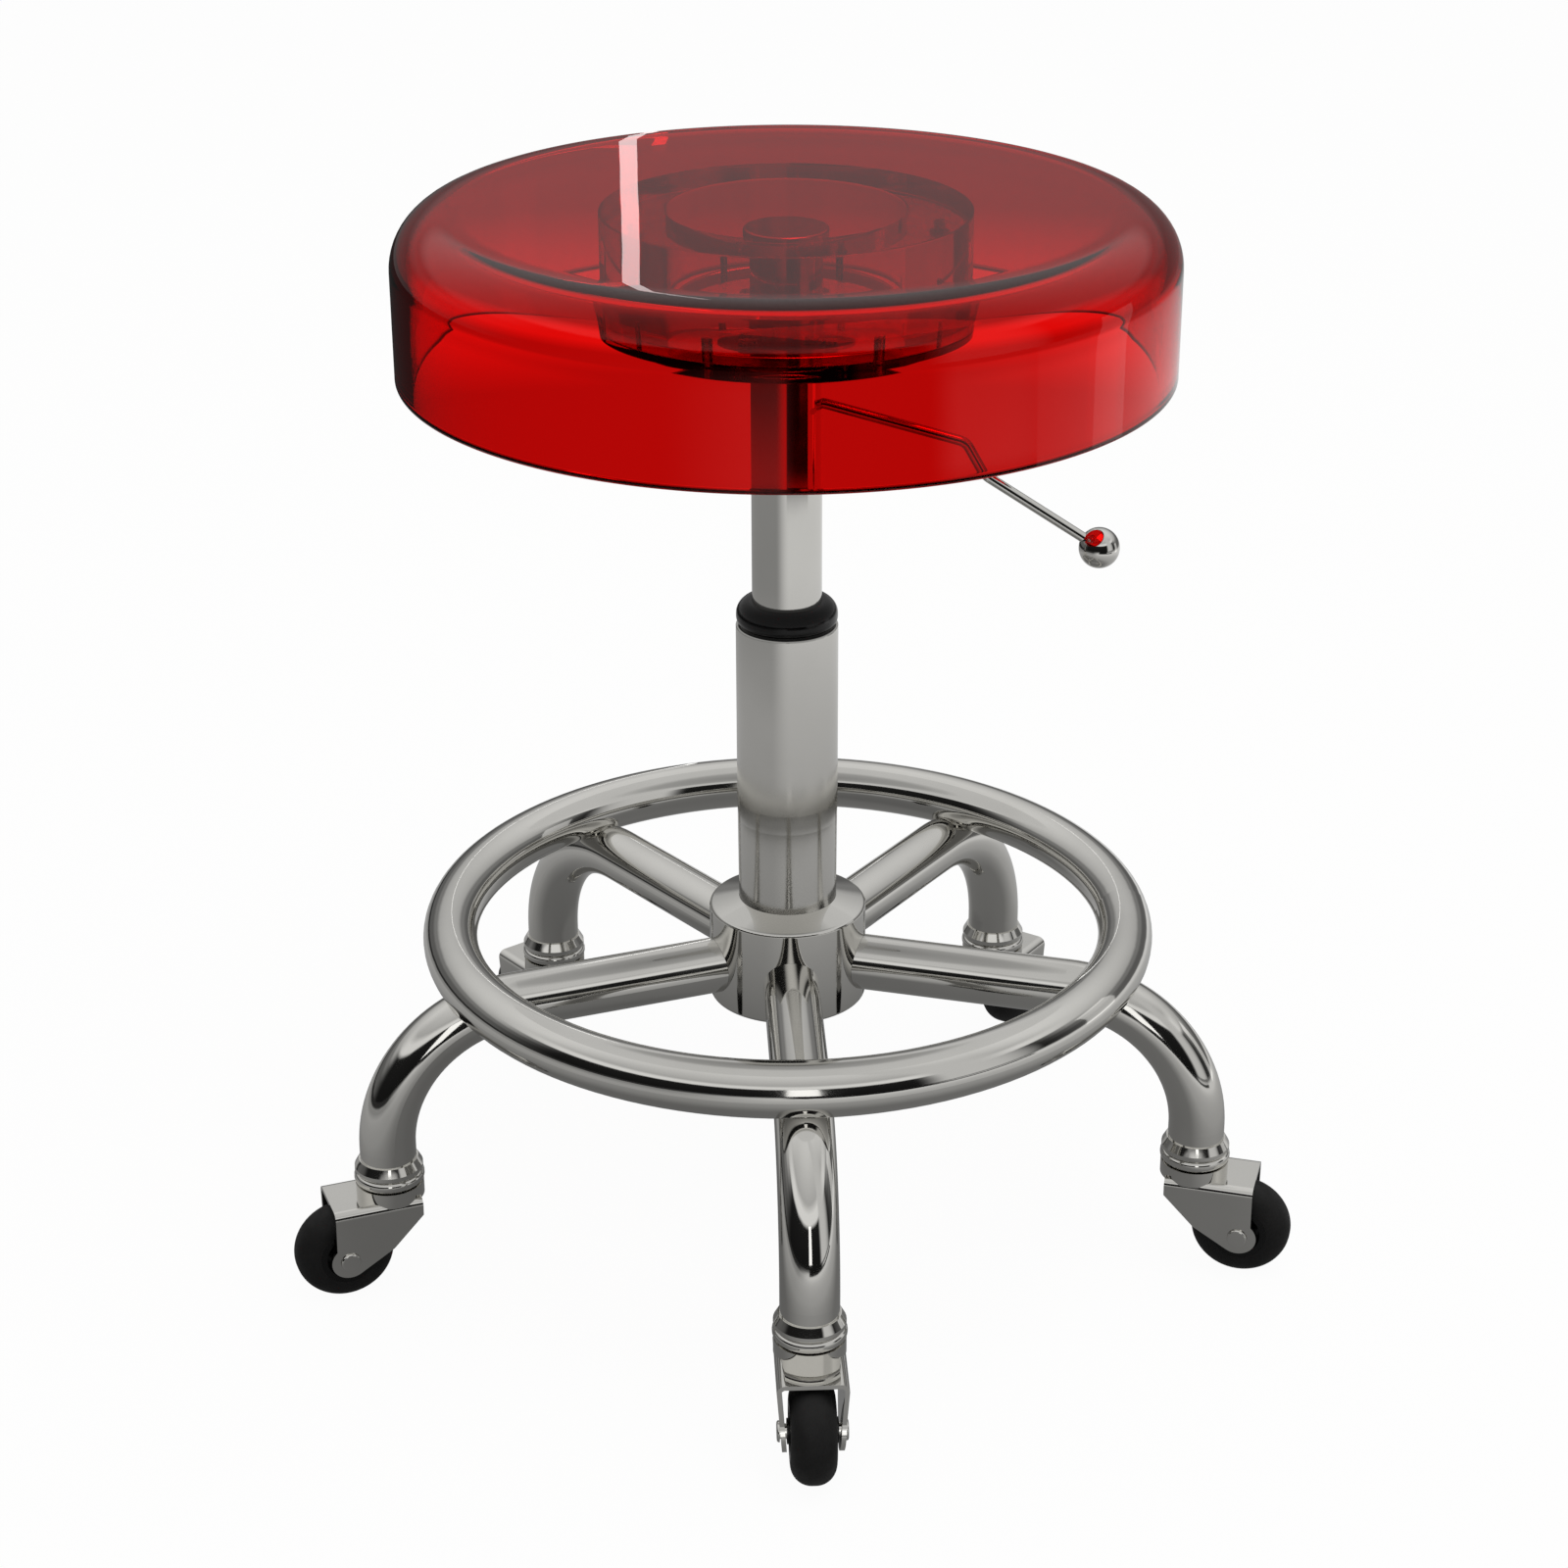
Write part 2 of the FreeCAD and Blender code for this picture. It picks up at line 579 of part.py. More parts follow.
def hub():
    """Casting with a low cone on top, hollow from below, with a tapered bore for the column."""
    bore_foot = column_taper(HUB_FOOT) + FIT
    bore_top = column_taper(HUB_TOP) + FIT
    crown = Part.makeCone(HUB_RADIUS, bore_top, HUB_CROWN, V(0, 0, HUB_EDGE), UP)
    body = cylinder(HUB_RADIUS, HUB_FOOT, HUB_EDGE).fuse(crown).removeSplitter()
    body = round_edge(body, HUB_EDGE_ROUND, HUB_RADIUS, HUB_EDGE)
    body = round_edge(body, HUB_FOOT_ROUND, HUB_RADIUS, HUB_FOOT)
    bore = Part.makeCone(bore_foot, bore_top, HUB_TOP - HUB_FOOT, V(0, 0, HUB_FOOT), UP)
    pocket = sleeve(HUB_RADIUS - HUB_WALL, bore_top + HUB_SLEEVE, HUB_FOOT, HUB_EDGE - HUB_ROOF)
    return without(body, [bore, pocket])


def leg(number):
    """Bent tube from the hub to a caster, notched under the foot ring."""
    across = V(1, 0, 0)
    start = V(BEND_X, 0, LEG_HEIGHT)
    disc = Part.Face(Part.Wire(Part.makeCircle(LEG_RADIUS, start, across)))
    hole = Part.Face(Part.Wire(Part.makeCircle(LEG_BORE, start, across)))
    section = disc.cut(hole).Faces[0]
    level = section.extrude(V(-BEND_X, 0, 0))
    elbow = section.revolve(V(BEND_X, 0, BEND_FOOT), V(0, 1, 0), 90)
    upright = sleeve(LEG_RADIUS, LEG_BORE, LEG_END, BEND_FOOT).translated(V(LEG_REACH, 0, 0))
    tube = joined([level, elbow, upright])
    hub_cut = cylinder(HUB_RADIUS + FIT, HUB_FOOT - HUB_RADIUS, HUB_TOP + HUB_RADIUS)
    ring_cut = Part.makeTorus(FOOT_RING_REACH, FOOT_RING_TUBE + FIT, V(0, 0, FOOT_RING_Z), UP)
    return at_leg(without(tube, [hub_cut, ring_cut]), number)


def foot_ring():
    """Round tube on the legs, with a vent into it above each leg."""
    centre = V(0, 0, FOOT_RING_Z)
    ring = Part.makeTorus(FOOT_RING_REACH, FOOT_RING_TUBE, centre, UP)
    hollow = Part.makeTorus(FOOT_RING_REACH, FOOT_RING_TUBE - FOOT_RING_WALL, centre, UP)
    vent = cylinder(VENT_RADIUS, FOOT_RING_Z - 2 * FOOT_RING_TUBE, FOOT_RING_Z, FOOT_RING_REACH)
    return without(ring, [hollow] + around(vent, LEG_COUNT, FIRST_LEG_ANGLE))


# Casters


def at_leg(shape, number):
    """Turn a shape from the X axis to a leg."""
    return shape.rotated(ORIGIN, UP, FIRST_LEG_ANGLE + 360.0 * (number - 1) / LEG_COUNT)


def at_caster(shape, number):
    """Move a shape from the caster's own frame to a leg's end."""
    return at_leg(shape.translated(V(LEG_REACH, 0, 0)), number)


def at_casters(shapes):
    """Copies of shapes at every leg's end."""
    numbers = range(1, LEG_COUNT + 1)
    return Part.makeCompound([at_caster(shape, number) for number in numbers for shape in shapes])


def caster_sockets():
    """Plugs in the leg ends, each with a flared ferrule round the tube."""
    rim_top = STEM_RACE_TOP + SOCKET_RIM
    flare_top = rim_top + SOCKET_FLARE
    rim = cylinder(SOCKET_RADIUS, STEM_RACE_TOP, rim_top)
    rim = round_edge(rim, SOCKET_ROUND, SOCKET_RADIUS, STEM_RACE_TOP)
    flare = Part.makeCone(SOCKET_RADIUS, LEG_RADIUS + SOCKET_LIP, SOCKET_FLARE, V(0, 0, rim_top), UP)
    mouth = sleeve(LEG_RADIUS + FIT, LEG_BORE - FIT, LEG_END, flare_top)
    plug = cylinder(LEG_BORE - FIT, LEG_END, BEND_FOOT)
    nose = Part.makeCone(LEG_BORE - FIT, SOCKET_NOSE_RADIUS, SOCKET_NOSE, V(0, 0, BEND_FOOT), UP)
    bore = cylinder(STEM_RADIUS + FIT, STEM_RACE_TOP, BEND_FOOT + SOCKET_NOSE)
    return at_casters([without(joined([rim, flare, plug, nose]), [mouth, bore])])


def caster_stems():
    """Stems with the upper ball race, its boss and the riveted kingpin."""
    race = cylinder(STEM_RACE_RADIUS, STEM_RACE_FOOT, STEM_RACE_TOP)
    race = round_edge(race, STEM_RACE_ROUND, STEM_RACE_RADIUS, STEM_RACE_TOP)
    race = round_edge(race, STEM_RACE_ROUND, STEM_RACE_RADIUS, STEM_RACE_FOOT)
    stem = cylinder(STEM_RADIUS, STEM_RACE_TOP, STEM_RACE_TOP + STEM_LENGTH)
    boss = cylinder(SWIVEL_BOSS_RADIUS, FORK_TOP + SLACK, STEM_RACE_FOOT)
    head_top = FORK_TOP - FORK_SHEET - SLACK
    kingpin = cylinder(KINGPIN_RADIUS, head_top, FORK_TOP + SLACK)
    head = cylinder(KINGPIN_HEAD_RADIUS, head_top - KINGPIN_HEAD_HEIGHT, head_top)
    return at_casters([joined([race, stem, boss, kingpin, head])])


def caster_balls():
    """Balls between each stem's race and the cup of its fork."""
    ball = Part.makeSphere(SWIVEL_BALL_RADIUS, V(SWIVEL_BALL_CIRCLE, 0, SWIVEL_BALL_Z))
    return at_casters(around(ball, SWIVEL_BALL_COUNT))


def fork_half_width(height):
    """Outside half width of the fork at a height."""
    return FORK_HALF_WIDTH - FORK_TAPER * (FORK_TOP - height) / FORK_TOP


def fork_channel(inset, top, low):
    """Solid channel section along X, narrower towards the floor, with rounded upper edges."""
    back = -FORK_FRONT - FORK_BEND
    length = TRAIL + FORK_EYE_RADIUS + FORK_BEND - back
    top_half = fork_half_width(top) - inset
    low_half = fork_half_width(low) - inset
    corners = [
        V(back, -top_half, top),
        V(back, top_half, top),
        V(back, low_half, low),
        V(back, -low_half, low),
    ]
    bar = Part.Face(Part.Wire(polygon(corners))).extrude(V(length, 0, 0))
    upper = [edge for edge in bar.Edges if edge.BoundBox.ZMin > top - FIT]
    return bar.makeFillet(FORK_BEND - inset, [edge for edge in upper if edge.BoundBox.YLength < FIT])


def fork_side():
    """Side view of the fork, as a slab right across it."""
    depth = 2 * FORK_HALF_WIDTH
    rear = TRAIL + FORK_REAR
    to_waist = FORK_WAIST.sub(AXLE)
    spread = math.acos(FORK_EYE_RADIUS / to_waist.Length)
    angle = math.atan2(to_waist.z, to_waist.x) + spread
    touch = AXLE.add(V(FORK_EYE_RADIUS * math.cos(angle), 0, FORK_EYE_RADIUS * math.sin(angle)))
    outline = [
        V(rear, 0, WHEEL_RADIUS),
        V(rear, 0, FORK_TOP),
        V(-FORK_FRONT, 0, FORK_TOP),
        V(-FORK_FRONT, 0, FORK_TOP - FORK_FRONT_DEPTH),
        FORK_WAIST,
        touch,
        AXLE,
    ]
    cheek = Part.Face(Part.Wire(polygon(outline))).extrude(V(0, 2 * depth, 0))
    eye = cross_cylinder(FORK_EYE_RADIUS, depth, AXLE.x, AXLE.z)
    return joined([cheek.translated(V(0, -depth, 0)), eye])


def caster_fork(number):
    """Pressed fork with its ball cup and the eyes of the axle."""
    roof = FORK_TOP - FORK_SHEET
    shell = fork_channel(0, FORK_TOP, 0).cut(fork_channel(FORK_SHEET, roof, -FORK_SHEET))
    cup = sleeve(FORK_HALF_WIDTH, FORK_HALF_WIDTH - CUP_WALL, roof, STEM_RACE_FOOT - SLACK)
    axle_hole = cross_cylinder(AXLE_RADIUS + FIT, 2 * FORK_HALF_WIDTH, AXLE.x, AXLE.z)
    kingpin_hole = cylinder(KINGPIN_RADIUS + FIT, roof - SLACK, FORK_TOP)
    fork = without(joined([shell.common(fork_side()), cup]), [axle_hole, kingpin_hole])
    return at_caster(fork, number)


def caster_axle(number):
    """Riveted axle with a domed head outside each cheek."""
    seat = fork_half_width(AXLE.z + AXLE_HEAD_RADIUS)
    end = seat + AXLE_HEAD_HEIGHT
    rivet = joined([
        cylinder(AXLE_HEAD_RADIUS, seat, end),
        cylinder(AXLE_RADIUS, -seat, seat),
        cylinder(AXLE_HEAD_RADIUS, -end, -seat),
    ])
    for height in (end, -end):
        rivet = round_edge(rivet, AXLE_HEAD_HEIGHT * AXLE_DOME, AXLE_HEAD_RADIUS, height)
    lying = rivet.rotated(ORIGIN, V(1, 0, 0), 90)
    return at_caster(lying.translated(AXLE), number)


def wheel_piece(edges, number):
    """Solid turned about Z, laid on the axle of a caster."""
    lying = revolved(edges).rotated(ORIGIN, V(1, 0, 0), 90)
    return at_caster(lying.translated(AXLE), number)


def caster_tyre(number):
    """Tread with rounded shoulders."""
    half = WHEEL_WIDTH / 2
    inner = WHEEL_RADIUS - TYRE_DEPTH
    round_x = WHEEL_RADIUS - TYRE_ROUND
    round_z = half - TYRE_ROUND
    lines = [
        (V(WHEEL_RADIUS, 0, -round_z), V(WHEEL_RADIUS, 0, round_z)),
        (V(round_x, 0, half), V(inner, 0, half)),
        (V(inner, 0, half), V(inner, 0, -half)),
        (V(inner, 0, -half), V(round_x, 0, -half)),
    ]
    edges = [Part.LineSegment(a, b).toShape() for a, b in lines]
    edges.append(quarter_arc(V(round_x, 0, round_z), TYRE_ROUND, 0))
    edges.append(quarter_arc(V(round_x, 0, -round_z), TYRE_ROUND, -90))
    return wheel_piece(Part.__sortEdges__(edges), number)


def caster_core(number):
    """Wheel body with a boss, a web and a rim, bored for the axle."""
    rim = WHEEL_RADIUS - TYRE_DEPTH - FIT
    half = WHEEL_WIDTH / 2
    boss_half = fork_half_width(AXLE.z - CORE_BOSS_RADIUS) - FORK_SHEET - SLACK
    web = CORE_WEB / 2
    bore = AXLE_RADIUS + FIT
    profile = [
        V(bore, 0, -boss_half),
        V(CORE_BOSS_RADIUS, 0, -boss_half),
        V(CORE_BOSS_RADIUS, 0, -web),
        V(rim - CORE_RIM_DEPTH, 0, -web),
        V(rim - CORE_RIM_DEPTH, 0, -half),
        V(rim, 0, -half),
    ]
    mirrored = [V(point.x, 0, -point.z) for point in reversed(profile)]
    return wheel_piece(polygon(profile + mirrored), number)


SINGLE_PIECES = (
    seat_shell, seat_ring, seat_mount_plate, seat_screws, flange_bolts, upper_tube, tube_cap,
    gas_cylinder, rod_guide, piston, piston_rod, release_pin,
    lever_housing, lever_pivot_pin, lever_rod, lever_knob,
    bump_stop, thrust_race_lower, thrust_race_upper, thrust_balls, rod_clip,
    column_tube, guide_bush, column_floor, hub, foot_ring,
    caster_sockets, caster_stems, caster_balls,
)
CASTER_PIECES = (caster_fork, caster_axle, caster_tyre, caster_core)


def main():
    """Write every piece to its own file."""
    os.makedirs("parts", exist_ok=True)
    pieces = {make.__name__: make() for make in SINGLE_PIECES}
    for number in range(1, LEG_COUNT + 1):
        pieces[f"leg_{number}"] = leg(number)
        for make in CASTER_PIECES:
            kind = make.__name__.split("_")[1]
            pieces[f"caster_{number}_{kind}"] = make(number)
    for name, shape in pieces.items():
        shape.exportStep(f"parts/{name}.step")


main()
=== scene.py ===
"""Rolling stool with a clear red drum seat: finishes, seat surfaces, studio and camera around the solids."""
import json
import math

import bmesh
import bpy
import numpy as np
from mathutils import Matrix, Vector


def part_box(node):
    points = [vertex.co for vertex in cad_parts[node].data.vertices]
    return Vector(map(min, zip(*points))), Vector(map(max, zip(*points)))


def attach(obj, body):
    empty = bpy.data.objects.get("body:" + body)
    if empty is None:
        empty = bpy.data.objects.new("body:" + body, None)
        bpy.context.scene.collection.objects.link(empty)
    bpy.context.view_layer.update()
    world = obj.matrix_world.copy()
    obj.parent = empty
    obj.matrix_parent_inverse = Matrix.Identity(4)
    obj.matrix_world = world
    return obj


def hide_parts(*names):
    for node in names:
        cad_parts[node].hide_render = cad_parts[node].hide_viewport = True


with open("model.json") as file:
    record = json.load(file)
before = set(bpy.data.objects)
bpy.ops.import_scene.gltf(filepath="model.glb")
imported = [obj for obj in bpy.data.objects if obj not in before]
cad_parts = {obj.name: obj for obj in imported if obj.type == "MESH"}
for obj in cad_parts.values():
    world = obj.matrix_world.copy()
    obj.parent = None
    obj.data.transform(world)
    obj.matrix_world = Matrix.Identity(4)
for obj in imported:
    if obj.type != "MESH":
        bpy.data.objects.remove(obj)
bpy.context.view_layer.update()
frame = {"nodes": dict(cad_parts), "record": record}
nodes = frame["nodes"]

# Seat, in metres: the outside as the solids have it, and the walls, bores and rounded edges beside it
shell_low, shell_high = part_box("seat_shell")
ring_low, ring_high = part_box("seat_ring")
plate_low, plate_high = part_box("seat_mount_plate")
SEAT_BODY = "seat"
SEAT_SLOT = "seat_acrylic"
SEAT_TOP = shell_high.z
SEAT_RIM = shell_low.z
SEAT_RADIUS = shell_high.x
SEAT_WALL = 0.008
SEAT_SHOULDER = 0.026
RIM_ROUND = 0.0015
RING_RADIUS = ring_high.x
RING_WIDTH = 0.031
RING_FOOT = ring_low.z
RING_ROUND = 0.0006
PLATE_RADIUS = plate_high.x
PLATE_FOOT = plate_low.z
PLATE_BORE = 0.01705
PLATE_ROUND = 0.0005
GLUE_GAP = 0.0001              # air between clear pieces that only touch

# Points of the turned pieces
AROUND = 288                   # round the axis
SHOULDER_STEPS = 16            # steps along each arc of the drum
EDGE_STEPS = 6                 # steps along each edge of a ring
GUARD = 0.3                    # from an arc to the extra point beside it, as a share of its radius
SEAM_REACH = 1e-6              # points closer than this become one


def rounded(corners, radii, steps):
    """Outline through corners, with an arc in place of each but the first and the last.

    An arc of radius R starts R / tan(half the corner's angle) before the corner and ends as far after it.
    Its points turn evenly about the centre, which lies on the bisector. One extra point on each run beside
    an arc keeps the shading of the run flat.
    """
    corners = np.asarray(corners, float)
    path = [corners[:1]]
    for before, corner, after, radius in zip(corners, corners[1:], corners[2:], radii):
        back = (before - corner) / np.linalg.norm(before - corner)
        onward = (after - corner) / np.linalg.norm(after - corner)
        half = math.acos(np.clip(back @ onward, -1, 1)) / 2
        setback = radius / math.tan(half)
        bisector = (back + onward) / np.linalg.norm(back + onward)
        centre = corner + bisector * radius / math.sin(half)
        first = corner + back * setback - centre
        last = corner + onward * setback - centre
        swing = math.pi - 2 * half
        share = np.linspace(0, 1, steps + 1)[:, None]
        arc = (np.sin((1 - share) * swing) * first + np.sin(share * swing) * last) / math.sin(swing)
        guard = setback + radius * GUARD
        path += [(corner + back * guard)[None], centre + arc, (corner + onward * guard)[None]]
    path.append(corners[-1:])
    return np.concatenate(path)


def turned(profile):
    """Grid of a profile (r, z) turned about Z: the point at angle a is (r cos a, r sin a, z)."""
    angle = np.linspace(0, 2 * math.pi, AROUND, endpoint=False)[:, None]
    radius, height = profile[:, 0][None], profile[:, 1][None]
    return np.stack([radius * np.cos(angle), radius * np.sin(angle), height + 0 * angle], -1)


def grid_faces(rows, columns, closed):
    """Quads between neighbours on a grid of points, as whole index arrays.

    The last row joins the first one. On a closed grid the last column joins the first one too.
    """
    row = np.arange(rows)[:, None]
    column = np.arange(columns if closed else columns - 1)[None, :]
    next_row = (row + 1) % rows
    next_column = (column + 1) % columns
    corners = [row * columns + column, row * columns + next_column,
               next_row * columns + next_column, next_row * columns + column]
    return np.stack([np.broadcast_to(c, (row.size, column.size)) for c in corners], -1).reshape(-1, 4)


def merge_seams(mesh):
    """Points that fall together, as at a pole, become one, and all faces turn outwards."""
    work = bmesh.new()
    work.from_mesh(mesh)
    bmesh.ops.remove_doubles(work, verts=work.verts, dist=SEAM_REACH)
    bmesh.ops.recalc_face_normals(work, faces=work.faces)
    work.to_mesh(mesh)
    work.free()


def seat_piece(name, profile, closed, finish, replaced):
    """Clear piece turned from a profile, in place of a node. A closed profile joins its end to its start."""
    points = turned(profile)
    rows, columns = points.shape[:2]
    mesh = bpy.data.meshes.new(name)
    mesh.from_pydata(points.reshape(-1, 3).tolist(), [], grid_faces(rows, columns, closed).tolist())
    mesh.validate()
    mesh.shade_smooth()
    mesh.materials.append(finish)
    merge_seams(mesh)
    obj = bpy.data.objects.new(name, mesh)
    bpy.context.scene.collection.objects.link(obj)
    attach(obj, SEAT_BODY)
    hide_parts(replaced)


# Pieces of the seat


def seat_drum(finish):
    """Open drum, a body of revolution.

    The profile starts on the axis at the top, runs out over the flat, round the shoulder, down the wall,
    round the rim, up inside, round the inner corner and back under the top to the axis.
    """
    under = SEAT_TOP - SEAT_WALL
    inner = SEAT_RADIUS - SEAT_WALL
    corners = [(0, SEAT_TOP), (SEAT_RADIUS, SEAT_TOP), (SEAT_RADIUS, SEAT_RIM),
               (inner, SEAT_RIM), (inner, under), (0, under)]
    radii = [SEAT_SHOULDER, RIM_ROUND, RIM_ROUND, SEAT_SHOULDER - SEAT_WALL]
    seat_piece("seat_drum", rounded(corners, radii, SHOULDER_STEPS), False, finish, "seat_shell")


def flat_ring(inner, outer, low, high, edge):
    """Closed profile of a ring with a rectangular section and broken edges, from the middle of its bore."""
    middle = (low + high) / 2
    corners = [(inner, middle), (inner, low), (outer, low), (outer, high), (inner, high), (inner, middle)]
    return rounded(corners, [edge] * 4, EDGE_STEPS)[:-1]


def hung_ring(finish):
    """Thick ring, a body of revolution, a hair below the top that it is joined to."""
    under = SEAT_TOP - SEAT_WALL - GLUE_GAP
    profile = flat_ring(RING_RADIUS - RING_WIDTH, RING_RADIUS, RING_FOOT, under, RING_ROUND)
    seat_piece("hung_ring", profile, True, finish, "seat_ring")


def seat_plate(finish):
    """Plate with a bore, a body of revolution, a hair below the ring that it is joined to."""
    profile = flat_ring(PLATE_BORE, PLATE_RADIUS, PLATE_FOOT, RING_FOOT - GLUE_GAP, PLATE_ROUND)
    seat_piece("seat_plate", profile, True, finish, "seat_mount_plate")


# Finishes

NOISE_LOW = 0.3                # usual range of a noise
NOISE_HIGH = 0.7
NOISE_DETAIL = 4.0             # its octaves, where a finish names no others


def new_finish(name):
    """Material, its node tree and its Principled surface."""
    material = bpy.data.materials.new(name)
    material.use_nodes = True
    tree = material.node_tree
    return material, tree, tree.nodes["Principled BSDF"]


def add(tree, kind, **values):
    """Node of a kind, with its input sockets set by name."""
    node = tree.nodes.new(kind)
    for key, value in values.items():
        node.inputs[key.replace("_", " ")].default_value = value
    return node


def speckle(tree, scale, detail):
    """Noise on Object coordinates."""
    place = tree.nodes.new("ShaderNodeTexCoord")
    noise = add(tree, "ShaderNodeTexNoise", Scale=scale, Detail=detail)
    tree.links.new(place.outputs["Object"], noise.inputs["Vector"])
    return noise.outputs["Fac"]


def mottled(tree, surface, dark, light, scale, detail=NOISE_DETAIL):
    """Base colour that wanders between two tones."""
    ramp = tree.nodes.new("ShaderNodeValToRGB")
    for step, at, tone in zip(ramp.color_ramp.elements, (NOISE_LOW, NOISE_HIGH), (dark, light)):
        step.position = at
        step.color = (*tone, 1)
    tree.links.new(speckle(tree, scale, detail), ramp.inputs["Fac"])
    tree.links.new(ramp.outputs["Color"], surface.inputs["Base Color"])


def uneven_gloss(tree, surface, smooth, rough, scale, detail=NOISE_DETAIL):
    """Roughness that wanders between two values."""
    stretch = add(tree, "ShaderNodeMapRange", From_Min=NOISE_LOW, From_Max=NOISE_HIGH, To_Min=smooth,
                  To_Max=rough)
    tree.links.new(speckle(tree, scale, detail), stretch.inputs["Value"])
    tree.links.new(stretch.outputs["Result"], surface.inputs["Roughness"])


def bumped(tree, surface, strength, distance, scale, detail):
    """Relief of a noise in the shading."""
    bump = add(tree, "ShaderNodeBump", Strength=strength, Distance=distance)
    tree.links.new(speckle(tree, scale, detail), bump.inputs["Height"])
    tree.links.new(bump.outputs["Normal"], surface.inputs["Normal"])


def red_acrylic():
    """Polished clear red acrylic: refracts, absorbs all but red, and its surface waves very slightly."""
    material, tree, surface = new_finish("red_acrylic")
    surface.inputs["Base Color"].default_value = (0.80, 0.10, 0.08, 1)
    surface.inputs["Transmission Weight"].default_value = 1.0
    surface.inputs["IOR"].default_value = 1.49
    surface.inputs["Specular Tint"].default_value = (1.0, 0.30, 0.28, 1)
    uneven_gloss(tree, surface, smooth=0.0, rough=0.006, scale=60.0)
    bumped(tree, surface, strength=0.03, distance=0.002, scale=9.0, detail=1.0)
    depth = add(tree, "ShaderNodeVolumeAbsorption", Color=(1.0, 0.0, 0.0, 1), Density=400.0)
    tree.links.new(depth.outputs["Volume"], tree.nodes["Material Output"].inputs["Volume"])
    return material


def chrome_plate():
    """Bright plate with faint smears in its gloss and a trace of waviness."""
    material, tree, surface = new_finish("chrome_plate")
    surface.inputs["Metallic"].default_value = 1.0
    mottled(tree, surface, dark=(0.61, 0.60, 0.57), light=(0.66, 0.65, 0.62), scale=14.0)
    uneven_gloss(tree, surface, smooth=0.03, rough=0.09, scale=35.0, detail=6.0)
    bumped(tree, surface, strength=0.02, distance=0.001, scale=25.0, detail=2.0)
    return material


def satin_plate():
    """Plate of the column, a little duller than the rest."""
    material, tree, surface = new_finish("satin_plate")
    surface.inputs["Metallic"].default_value = 1.0
    mottled(tree, surface, dark=(0.615, 0.605, 0.575), light=(0.655, 0.645, 0.615), scale=14.0)
    uneven_gloss(tree, surface, smooth=0.12, rough=0.17, scale=30.0, detail=6.0)
    return material


def bare_steel():
    """Ground steel of the pieces inside the column and of the screws."""
    material, tree, surface = new_finish("bare_steel")
    surface.inputs["Metallic"].default_value = 1.0
    mottled(tree, surface, dark=(0.50, 0.50, 0.51), light=(0.60, 0.60, 0.61), scale=300.0)
    uneven_gloss(tree, surface, smooth=0.18, rough=0.34, scale=700.0, detail=2.0)
    return material


def moulded_black():
    """Black moulded plastic with a fine grain."""
    material, tree, surface = new_finish("moulded_black")
    surface.inputs["Specular IOR Level"].default_value = 0.3
    mottled(tree, surface, dark=(0.0015, 0.0015, 0.0015), light=(0.003, 0.003, 0.003), scale=90.0)
    uneven_gloss(tree, surface, smooth=0.14, rough=0.24, scale=240.0)
    bumped(tree, surface, strength=0.05, distance=0.0004, scale=900.0, detail=2.0)
    return material


def dull_rubber():
    """Dull black tread with dust in its grain."""
    material, tree, surface = new_finish("dull_rubber")
    surface.inputs["Specular IOR Level"].default_value = 0.3
    mottled(tree, surface, dark=(0.003, 0.0029, 0.0028), light=(0.007, 0.0068, 0.0066), scale=60.0,
            detail=8.0)
    uneven_gloss(tree, surface, smooth=0.50, rough=0.68, scale=160.0)
    bumped(tree, surface, strength=0.12, distance=0.0005, scale=1200.0, detail=3.0)
    return material


def dress_nodes(finishes, satin):
    """Each CAD node takes the finish of its slot, but the column takes the satin one."""
    for entry in frame["record"]["subparts"]:
        name = entry["node"]
        finish = satin if name == "column_tube" else finishes[entry["material_slot"]]
        nodes[name].data.materials.clear()
        nodes[name].data.materials.append(finish)


# Camera, at the photograph's angle

CAMERA_PLACE = Vector((-0.0659, -1.4391, 0.9005))
CAMERA_TURN = math.radians(2.555)      # heading to the right of +Y
CAMERA_PITCH = math.radians(24.575)    # downwards
CAMERA_ROLL = math.radians(0.154)
CAMERA_LENS = 73.03                    # in millimetres, as the sensor is
SENSOR_WIDTH = 36.0


def camera():
    """Camera whose axes come from heading, pitch and roll."""
    ahead = Vector((math.sin(CAMERA_TURN) * math.cos(CAMERA_PITCH),
                    math.cos(CAMERA_TURN) * math.cos(CAMERA_PITCH), -math.sin(CAMERA_PITCH)))
    right = Vector((math.cos(CAMERA_TURN), -math.sin(CAMERA_TURN), 0))
    up = right.cross(ahead)
    turned_right = math.cos(CAMERA_ROLL) * right - math.sin(CAMERA_ROLL) * up
    turned_up = math.sin(CAMERA_ROLL) * right + math.cos(CAMERA_ROLL) * up
    data = bpy.data.cameras.new("camera")
    data.lens = CAMERA_LENS
    data.sensor_width = SENSOR_WIDTH
    obj = bpy.data.objects.new("camera", data)
    axes = Matrix((turned_right, turned_up, -ahead)).transposed()
    obj.matrix_world = Matrix.Translation(CAMERA_PLACE) @ axes.to_4x4()
    bpy.context.scene.collection.objects.link(obj)
    bpy.context.scene.camera = obj


# Studio

FLOOR_RADIUS = 4.0
FLOOR_GLOW = 0.96              # share of the floor's own light to the camera, the rest shows the shadow
DISC_POINTS = 128              # points round the floor and the card
HALF_BOUNCE = 0.5              # tells no reflection from one or more
LEAST_AHEAD = 0.05             # least distance ahead that a slope is worked out for

